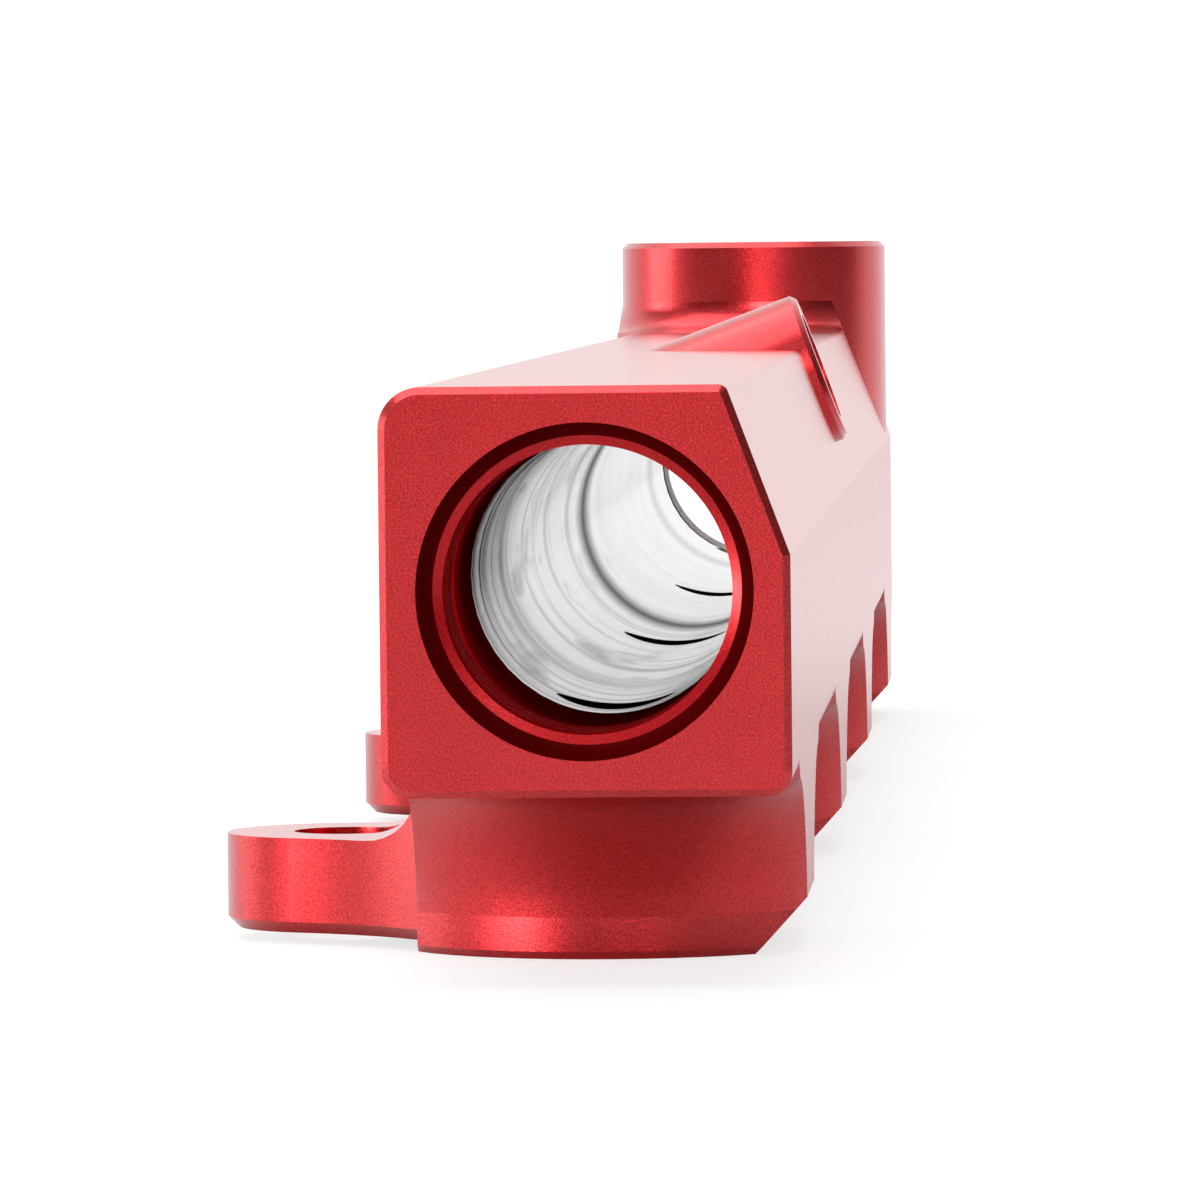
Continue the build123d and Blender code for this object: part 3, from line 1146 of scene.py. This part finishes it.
@dataclass
class InternalThread(PortPiece):
    """A right-hand internal thread: one helical ridge standing in from a plain hole's wall.

    The ridge is cut back at both ends by a 45 degree lead, as a real thread is by its chamfer, and
    its foot is sunk a little into the wall, so that no gap shows between the two. All lengths are
    in millimetres.

    Attributes:
        start: depth at which the ridge may begin.
        end: depth at which it has gone.
        major_radius: radius of the hole's wall.
        crest_radius: radius of the ridge's crest.
        per_inch: turns to the inch.
        steps: points around each turn.
    """

    SINK: ClassVar[float] = 0.04
    LEAST: ClassVar[float] = 0.01
    FLANK: ClassVar[float] = math.tan(math.radians(30.0))

    start: float
    end: float
    major_radius: float
    crest_radius: float
    per_inch: int
    steps: int = 96

    @property
    def pitch(self) -> float:
        """The distance between turns."""
        return INCH / self.per_inch

    @property
    def foot(self) -> float:
        """The radius of the ridge's foot, inside the wall."""
        return self.major_radius + self.SINK

    def section(self) -> Section:
        """The ridge's section at the first turn.

        Returns:
            Its corners in order, as (depth, radius).
        """
        height = self.major_radius - self.crest_radius
        root_flat = self.pitch / 8
        half_crest = max((self.pitch - root_flat) / 2 - height * self.FLANK, root_flat / 2)
        half_foot = half_crest + (height + self.SINK) * self.FLANK
        return (
            (self.start - half_foot, self.foot),
            (self.start - half_crest, self.crest_radius),
            (self.start + half_crest, self.crest_radius),
            (self.start + half_foot, self.foot),
        )

    def reach(self, depth: float) -> float:
        """The least radius that the ridge may have at a depth, with both end leads cut off.

        Args:
            depth: the depth.

        Returns:
            The radius, which stays just short of the foot.
        """
        lead_in = self.major_radius - (depth - self.start)
        lead_out = self.major_radius - (self.end - depth)
        return min(max(lead_in, lead_out), self.foot - self.LEAST)

    def shape(self) -> bmesh.types.BMesh:
        """Winds the section down the hole, caps it and cuts both ends back.

        Returns:
            The ridge.
        """
        mesh = bmesh.new()
        corners, sides = closed_section(mesh, self.section())
        count = round((self.end - self.start) / self.pitch * self.steps)
        bmesh.ops.spin(
            mesh, geom=corners + sides, cent=(0, 0, 0), axis=(0, 0, 1),
            dvec=(0, 0, self.pitch / self.steps), angle=2 * math.pi * count / self.steps,
            steps=count, use_merge=False, use_duplicate=False,
        )
        ends = [edge for edge in mesh.edges if edge.is_boundary]
        bmesh.ops.holes_fill(mesh, edges=ends, sides=len(corners))
        for vert in mesh.verts:
            radius = vert.co.xy.length
            vert.co.xy = vert.co.xy * (max(radius, self.reach(vert.co.z)) / radius)
        return mesh


@dataclass
class RailBody:
    """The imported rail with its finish."""

    node: str = RAIL_NODE
    finish: Finish = field(default_factory=AnodisedBillet)

    def dress(self) -> bpy.types.Object:
        """Gives every material slot of the CAD node the finish.

        Returns:
            The rail's object.
        """
        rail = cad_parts[self.node]
        made = self.finish.material()
        if not rail.material_slots:
            rail.data.materials.append(made)
        for slot in rail.material_slots:
            slot.material = made
        return rail


@dataclass
class Ports:
    """The machined detail of the end ports, the regulator port and the gauge port.

    The end ports' seats lie a hair over the solid's own, so that their edges are smoothly round.
    All lengths are in millimetres.

    Attributes:
        sizes: the rail's sizes.
        billet: the finish of the seats and leads.
        crest_radius: an end port's thread, at its minor diameter.
        proud: how far the sealing cone's rim stands over the end face.
        rim_cover: how far the cone's rim lies inside the solid's.
        throat_cover: how far its throat does.
        throat_gap: how far the throat stops short of the solid's.
        rim_wall: how far the seat reaches into the metal behind its rim.
        throat_wall: how far it does behind its throat.
        rim_land: how deep the rim's outer wall is.
        lead_overlap: how far the lead's foot starts before the seat's end.
        lead_sink: how far its foot is sunk into the wall.
        lead_edge: the break of its outer edge.
        lead_depth: from its start to its crest.
        lead_gap: how far its crest stops short of the thread's.
        thread_gap: from the seat's end to the thread's first turn.
        runout: from the thread's last turn to the end of the plain hole.
    """

    sizes: RailSizes = SIZES
    billet: Finish = field(default_factory=AnodisedBillet)
    crest_radius: float = 8.85
    proud: float = 0.006
    rim_cover: float = 0.075
    throat_cover: float = 0.07
    throat_gap: float = 0.03
    rim_wall: float = 0.345
    throat_wall: float = 0.295
    rim_land: float = 0.25
    lead_overlap: float = 0.08
    lead_sink: float = 0.045
    lead_edge: float = 0.07
    lead_depth: float = 0.36
    lead_gap: float = 0.01
    thread_gap: float = 0.82
    runout: float = 0.6

    def seat_section(self) -> Section:
        """The sealing cone and its rim.

        Returns:
            The section's corners in order, as (depth, radius).
        """
        rim = self.sizes.seat_radius - self.rim_cover
        throat = self.sizes.thread_radius - self.throat_cover
        depth = self.sizes.seat_depth - self.throat_gap
        return (
            (-self.proud, rim + self.rim_wall),
            (-self.proud, rim),
            (depth, throat),
            (depth, throat + self.throat_wall),
            (self.rim_land, rim + self.rim_wall),
        )

    def lead_section(self) -> Section:
        """The chamfer that leads into the thread.

        Returns:
            The section's corners in order, as (depth, radius).
        """
        start = self.sizes.seat_depth - self.lead_overlap
        tip = start + self.lead_depth
        foot = self.sizes.thread_radius + self.lead_sink
        crest = self.crest_radius + self.lead_gap
        return (
            (start, foot),
            (start + self.lead_edge, foot - self.lead_edge),
            (tip, crest),
            (tip + foot - crest, foot),
        )

    def end_port(self, port: Port, thread_finish: Finish) -> list[PortPiece]:
        """The three pieces of one end port.

        Args:
            port: the port.
            thread_finish: its thread's finish.

        Returns:
            The seat, the lead and the thread.
        """
        return [
            TurnedRing("seat", port, self.billet, self.seat_section()),
            TurnedRing("lead", port, self.billet, self.lead_section()),
            InternalThread(
                "thread", port, thread_finish,
                start=self.sizes.seat_depth + self.thread_gap,
                end=self.sizes.thread_depth - self.runout,
                major_radius=self.sizes.thread_radius, crest_radius=self.crest_radius, per_inch=16,
            ),
        ]

    def regulator_thread(self) -> PortPiece:
        """The thread of the size 6 port in the tower's top.

        Returns:
            The thread.
        """
        port = Port("regulator", (0, self.sizes.tower_y, self.sizes.tower_top), (0, 0, -1))
        return InternalThread(
            "thread", port, DYED_THREAD,
            start=3.2, end=11.4, major_radius=7.145, crest_radius=6.5, per_inch=18,
        )

    def gauge_thread(self) -> PortPiece:
        """The pipe thread in the gauge boss.

        Returns:
            The thread.
        """
        port = Port("gauge", tuple(self.sizes.gauge_face), tuple(-self.sizes.bevel_normal))
        return InternalThread(
            "thread", port, DYED_THREAD,
            start=1.2, end=5.9, major_radius=4.3, crest_radius=3.85, per_inch=27, steps=72,
        )

    def pieces(self) -> list[PortPiece]:
        """Lists the pieces of all four ports.

        Returns:
            The pieces, from the front of the rail to its top.
        """
        return [
            *self.end_port(Port("front", (0, 0, 0), (0, 1, 0)), DYED_THREAD),
            *self.end_port(Port("rear", (0, self.sizes.length, 0), (0, -1, 0)), BARE_THREAD),
            self.regulator_thread(),
            self.gauge_thread(),
        ]


# ------------------------------------------------------------------------------- studio


@dataclass(frozen=True)
class Softbox:
    """A rectangular soft light.

    Attributes:
        name: the light's name.
        place: its middle, in metres.
        aim: the point it faces, in metres.
        width: its width, in metres.
        height: its height, in metres.
        power: its power, in watts.
        spread: the angle across its beam, in degrees.
    """

    name: str
    place: Point
    aim: Point
    width: float
    height: float
    power: float
    spread: float = 180.0

    def build(self) -> bpy.types.Object:
        """Adds the light to the scene.

        Returns:
            The light's object.
        """
        data = bpy.data.lights.new(self.name, "AREA")
        data.shape = "RECTANGLE"
        data.size = self.width
        data.size_y = self.height
        data.energy = self.power
        data.spread = math.radians(self.spread)
        made = bpy.data.objects.new(self.name, data)
        made.location = self.place
        toward = Vector(self.aim) - Vector(self.place)
        made.rotation_euler = toward.to_track_quat("-Z", "Y").to_euler()
        made.visible_camera = False
        bpy.context.scene.collection.objects.link(made)
        return made


@dataclass
class Studio:
    """A white table in a plain pale room, with soft lights above, in front and to the left.

    Attributes:
        floor_size: the table's side, in metres.
        floor_drop: how far it lies under the rail's lowest point, in metres.
        room: how bright the room is at its darkest.
        backdrop: how bright it is behind the rail.
        left_wall: how bright it is on the left, as a share of the backdrop.
        ceiling: how bright it is overhead, as a share of the backdrop.
        flag: how much of the ceiling a dark flag takes away on the right.
        behind_fade: where the backdrop sets in, by the Y of a unit vector towards it.
        left_fade: where the left wall does, by the vector's X, counted to the left.
        flag_fade: where the flag does, by its X, counted to the right.
        ceiling_fade: where the ceiling does, by its Z.
        seen_white: how bright the room is to the camera.
        finish: the table's finish.
        lights: the soft lights.
    """

    floor_size: float = 3.0
    floor_drop: float = 0.00002
    room: float = 0.04
    backdrop: float = 1.0
    left_wall: float = 0.5
    ceiling: float = 0.55
    flag: float = 0.5
    behind_fade: Fade = (0.32, 0.22)
    left_fade: Fade = (0.86, 0.16)
    flag_fade: Fade = (0.5, 0.4)
    ceiling_fade: Fade = (0.38, 0.44)
    seen_white: float = 1.1
    finish: Finish = field(default_factory=PaleFloorFinish)
    lights: Sequence[Softbox] = (
        Softbox("overhead", (-0.20, 0.15, 0.95), (0.0, 0.12, 0.0), 1.1, 1.1, 7.5),
        Softbox("front_fill", (0.28, -1.25, 0.52), (0.0, 0.0, 0.0), 0.70, 0.50, 8.0),
        Softbox("left_strip", (-0.80, 0.27, 0.12), (0.0, 0.20, 0.0), 0.40, 0.28, 1.2),
        Softbox(
            "low_glow", (-0.12, -0.07, -0.004), (-0.008, 0.034, -0.017), 0.07, 0.024, 0.010, 50.0
        ),
    )

    def floor(self) -> bpy.types.Object:
        """Lays the table top just under the rail's lowest point.

        Returns:
            The table's object.
        """
        mesh = bmesh.new()
        bmesh.ops.create_grid(mesh, x_segments=1, y_segments=1, size=self.floor_size / 2)
        middle = SIZES.length * MM / 2
        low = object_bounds()[0][2]
        bmesh.ops.translate(mesh, verts=mesh.verts, vec=(0.0, middle, low - self.floor_drop))
        data = bpy.data.meshes.new("floor")
        mesh.to_mesh(data)
        mesh.free()
        data.materials.append(self.finish.material())
        made = bpy.data.objects.new("floor", data)
        bpy.context.scene.collection.objects.link(made)
        made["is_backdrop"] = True
        return made

    def world(self) -> bpy.types.World:
        """A room that is white to the camera, bright behind, overhead and left, and dim in front.

        Returns:
            The world.
        """
        made = bpy.data.worlds.new("room")
        made.use_nodes = True
        graph = Graph(made.node_tree)
        coords = graph.node("ShaderNodeTexCoord").outputs["Generated"]
        way = graph.node("ShaderNodeSeparateXYZ", inputs={0: coords})
        across, along, up = (graph.number(way.outputs[k]) for k in range(3))
        behind = along.over(*self.behind_fade)
        left = (-across).over(*self.left_fade) * self.left_wall
        unflagged = 1.0 - across.over(*self.flag_fade) * self.flag
        above = up.over(*self.ceiling_fade) * unflagged * self.ceiling
        bright = behind.larger(left).larger(above)
        strength = bright * (self.backdrop - self.room) + self.room
        lit, white = (
            graph.node("ShaderNodeBackground", inputs={"Color": (1.0, 1.0, 1.0), "Strength": level})
            for level in (strength, self.seen_white)
        )
        path = graph.node("ShaderNodeLightPath")
        surface = graph.cover(path.outputs[Ray.CAMERA.value], lit.outputs[0], white.outputs[0])
        graph.node("ShaderNodeOutputWorld", inputs={"Surface": surface})
        bpy.context.scene.world = made
        return made

    def build(self) -> None:
        """Sets the table, the room and the lights."""
        self.floor()
        self.world()
        for light in self.lights:
            light.build()


@dataclass(frozen=True)
class Viewpoint:
    """The camera: a long lens looking down the rail from just above and right of its end.

    Attributes:
        place: the lens's position, in metres.
        yaw: turn to the left, in radians.
        pitch: tilt downwards, in radians.
        roll: turn about the line of sight, in radians.
        lens: focal length, in millimetres on a 36 mm sensor.
    """

    place: Point = (0.028992, -0.544306, 0.021509)
    yaw: float = 0.0514755
    pitch: float = 0.0403461
    roll: float = -0.0106968
    lens: float = 270.11

    def build(self) -> bpy.types.Object:
        """Adds the camera and makes it the scene's.

        Returns:
            The camera's object.
        """
        ahead = Vector((
            -math.sin(self.yaw) * math.cos(self.pitch),
            math.cos(self.yaw) * math.cos(self.pitch),
            -math.sin(self.pitch),
        ))
        level = Vector((math.cos(self.yaw), math.sin(self.yaw), 0.0))
        above = level.cross(ahead)
        right = level * math.cos(self.roll) + above * math.sin(self.roll)
        top = above * math.cos(self.roll) - level * math.sin(self.roll)
        data = bpy.data.cameras.new("view")
        data.lens = self.lens
        data.sensor_width = 36.0
        data.sensor_fit = "HORIZONTAL"
        data.clip_start = 0.01
        data.clip_end = 20.0
        made = bpy.data.objects.new("view", data)
        turn = Matrix((right, top, -ahead)).transposed().to_4x4()
        made.matrix_world = Matrix.Translation(Vector(self.place)) @ turn
        bpy.context.scene.collection.objects.link(made)
        bpy.context.scene.camera = made
        return made


# ----------------------------------------------------------------------------- assembly


def main() -> None:
    """Builds the looks, the studio and the camera in order."""
    logging.basicConfig(level=logging.INFO)
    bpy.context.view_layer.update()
    LOG.info("dressed %s", RailBody().dress().name)
    for piece in Ports().pieces():
        LOG.info("built %s", piece.build().name)
    Studio().build()
    Viewpoint().build()
    bpy.context.scene.view_settings.view_transform = "Standard"


if __name__ == "__main__":
    main()
